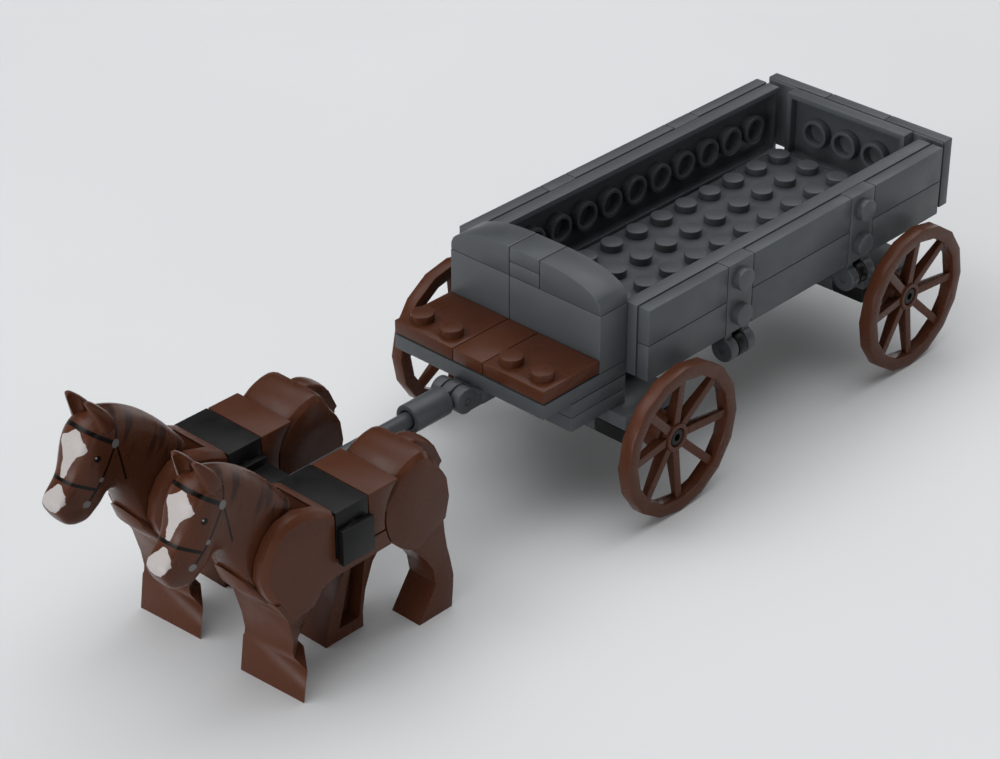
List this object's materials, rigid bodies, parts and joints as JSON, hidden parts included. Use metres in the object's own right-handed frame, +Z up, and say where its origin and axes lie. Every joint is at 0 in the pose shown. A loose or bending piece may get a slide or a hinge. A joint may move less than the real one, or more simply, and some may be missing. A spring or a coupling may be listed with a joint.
{
  "type": "brick-built toy wagon",
  "caption": "Brick-built open farm wagon with hinged plank sides and tailgate, spoked wheels and a two-horse team on a hinged drawbar",
  "frame": {"origin": "On the ground, under the middle of the wagon and its team, at the centre of the bounding box in X and Y", "axes": "+X forward along the wagon, from the tailgate to the horses' noses; +Y to the wagon's left; +Z up"},
  "size_m": [0.2186, 0.0646, 0.0561],
  "materials": {
    "dark_grey": "smooth moulded plastic with a soft shine",
    "reddish_brown": "smooth moulded plastic with a soft shine",
    "black": "smooth moulded plastic with a soft shine"
  },
  "bodies": {
    "chassis": {"bed_floor": "dark_grey", "keel_plate": "black", "spine_plate": "black", "left_hinge_base_front": "black", "left_hinge_base_rear": "black", "right_hinge_base_front": "black", "right_hinge_base_rear": "black", "tail_hinge_base": "black", "front_axle_beam": "dark_grey", "rear_axle_beam": "dark_grey", "front_left_wheel_holder": "black", "front_right_wheel_holder": "black", "rear_left_wheel_holder": "black", "rear_right_wheel_holder": "black", "front_block": "dark_grey", "platform_plate": "dark_grey", "seat_tile_left": "reddish_brown", "seat_tile_right": "reddish_brown", "seat_tile_middle": "reddish_brown", "dash_brick_left": "dark_grey", "dash_brick_right": "dark_grey", "dash_curve_left": "dark_grey", "dash_curve_right": "dark_grey", "dash_crown": "dark_grey", "pole_hinge_base": "dark_grey"},
    "front_left_wheel": {"front_left_wheel": "reddish_brown"},
    "front_right_wheel": {"front_right_wheel": "reddish_brown"},
    "rear_left_wheel": {"rear_left_wheel": "reddish_brown"},
    "rear_right_wheel": {"rear_right_wheel": "reddish_brown"},
    "left_board": {"left_board_plate": "dark_grey", "left_board_panel_rear": "dark_grey", "left_board_panel_middle": "dark_grey", "left_board_panel_front": "dark_grey", "left_board_strap_rear": "dark_grey", "left_board_strap_front": "dark_grey"},
    "right_board": {"right_board_plate": "dark_grey", "right_board_panel_rear": "dark_grey", "right_board_panel_middle": "dark_grey", "right_board_panel_front": "dark_grey", "right_board_strap_rear": "dark_grey", "right_board_strap_front": "dark_grey"},
    "tailgate": {"tailgate_plate": "dark_grey", "tailgate_tile_left": "dark_grey", "tailgate_tile_right": "dark_grey", "tailgate_tile_middle": "dark_grey", "tailgate_strap": "dark_grey"},
    "team": {"pole_knuckle": "dark_grey", "pole_bar": "black", "pole_yoke": "black", "left_horse_body": "reddish_brown", "left_horse_neck": "reddish_brown", "left_horse_back_brick": "reddish_brown", "left_horse_harness": "black", "right_horse_body": "reddish_brown", "right_horse_neck": "reddish_brown", "right_horse_back_brick": "reddish_brown", "right_horse_harness": "black"},
    "left_hindquarters": {"left_horse_hindquarters": "reddish_brown"},
    "right_hindquarters": {"right_horse_hindquarters": "reddish_brown"}
  },
  "joints": [
    {"name": "front_left_wheel_spin", "type": "hinge", "parent": "chassis", "child": "front_left_wheel", "pos_m": [-0.00995, 0.03085, 0.0165], "axis": [0, 1, 0], "continuous": true},
    {"name": "front_right_wheel_spin", "type": "hinge", "parent": "chassis", "child": "front_right_wheel", "pos_m": [-0.00995, -0.03085, 0.0165], "axis": [0, 1, 0], "continuous": true},
    {"name": "rear_left_wheel_spin", "type": "hinge", "parent": "chassis", "child": "rear_left_wheel", "pos_m": [-0.08675, 0.03085, 0.0165], "axis": [0, 1, 0], "continuous": true},
    {"name": "rear_right_wheel_spin", "type": "hinge", "parent": "chassis", "child": "rear_right_wheel", "pos_m": [-0.08675, -0.03085, 0.0165], "axis": [0, 1, 0], "continuous": true},
    {"name": "left_board_fold", "type": "hinge", "parent": "chassis", "child": "left_board", "pos_m": [-0.05455, 0.0243, 0.0248], "axis": [-1, 0, 0], "range_deg": [0, 24]},
    {"name": "right_board_fold", "type": "hinge", "parent": "chassis", "child": "right_board", "pos_m": [-0.05455, -0.0243, 0.0248], "axis": [1, 0, 0], "range_deg": [0, 24]},
    {"name": "tailgate_fold", "type": "hinge", "parent": "chassis", "child": "tailgate", "pos_m": [-0.10685, 0, 0.0248], "axis": [0, -1, 0], "range_deg": [0, 180]},
    {"name": "drawbar_lift", "type": "hinge", "parent": "chassis", "child": "team", "pos_m": [0.02145, 0, 0.02755], "axis": [0, -1, 0], "range_deg": [0, 25]},
    {"name": "left_horse_rear_up", "type": "hinge", "parent": "team", "child": "left_hindquarters", "pos_m": [0.05085, 0.014, 0.0274], "axis": [0, 1, 0], "range_deg": [0, 40]},
    {"name": "right_horse_rear_up", "type": "hinge", "parent": "team", "child": "right_hindquarters", "pos_m": [0.05085, -0.014, 0.0274], "axis": [0, 1, 0], "range_deg": [0, 40]}
  ]
}
